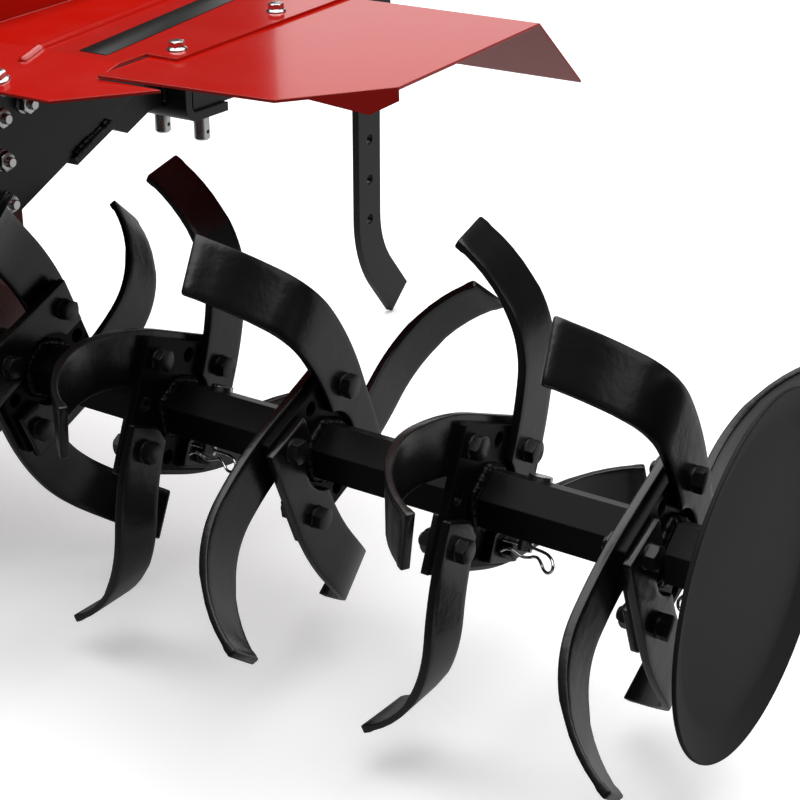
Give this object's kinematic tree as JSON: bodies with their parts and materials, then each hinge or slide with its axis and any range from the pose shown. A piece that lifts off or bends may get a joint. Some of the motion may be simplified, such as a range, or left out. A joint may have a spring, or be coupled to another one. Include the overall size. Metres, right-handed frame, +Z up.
{
  "type": "tilling unit of a walk-behind tractor",
  "caption": "Full-width tilling unit of a walk-behind tractor: gear case, hexagon axle with bolted curved tines and end discs, red mudguards and a drag bar.",
  "frame": {"origin": "middle of the top face of the gear case, where the engine bolts on", "axes": "+X forward, +Y to the operator's left along the rotor axle, +Z up"},
  "size_m": [0.8504, 1.408, 0.4819],
  "materials": {
    "red_paint": "gloss",
    "case_paint": "gloss",
    "black_paint": "satin",
    "rotor_paint": "satin",
    "tine_paint": "semi-gloss",
    "zinc": "bright zinc plate",
    "shaft_steel": "machined"
  },
  "bodies": {
    "frame": {"gear_case_left": "case_paint", "gear_case_right": "case_paint", "frame_plate_left": "black_paint", "frame_plate_right": "black_paint", "guard_left": "red_paint", "guard_right": "red_paint", "extension_left": "red_paint", "extension_right": "red_paint", "frame_brace": "black_paint", "hitch_bracket": "black_paint", "hitch_channel": "black_paint", "hitch_pins": "zinc", "drag_bar_arm": "black_paint", "lock_bolt": "zinc"},
    "rotor": {"output_shaft": "shaft_steel", "section_inner_left": "rotor_paint", "section_inner_right": "rotor_paint", "section_middle_left": "rotor_paint", "section_middle_right": "rotor_paint", "section_outer_left": "rotor_paint", "section_outer_right": "rotor_paint", "disc_left": "rotor_paint", "disc_right": "rotor_paint", "tines_inner_left": "tine_paint", "tines_inner_right": "tine_paint", "tines_middle_left": "tine_paint", "tines_middle_right": "tine_paint", "tines_outer_left": "tine_paint", "tines_outer_right": "tine_paint", "joint_pins_left": "zinc", "joint_pins_right": "zinc"},
    "drag_bar": {"drag_bar": "black_paint"}
  },
  "joints": [
    {"name": "rotor_spin", "type": "hinge", "parent": "frame", "child": "rotor", "pos_m": [0, 0, -0.29], "axis": [0, 1, 0], "continuous": true},
    {"name": "drag_bar_height", "type": "slide", "parent": "frame", "child": "drag_bar", "axis": [0, 0, 1], "range_m": [-0.044, 0.132]}
  ]
}
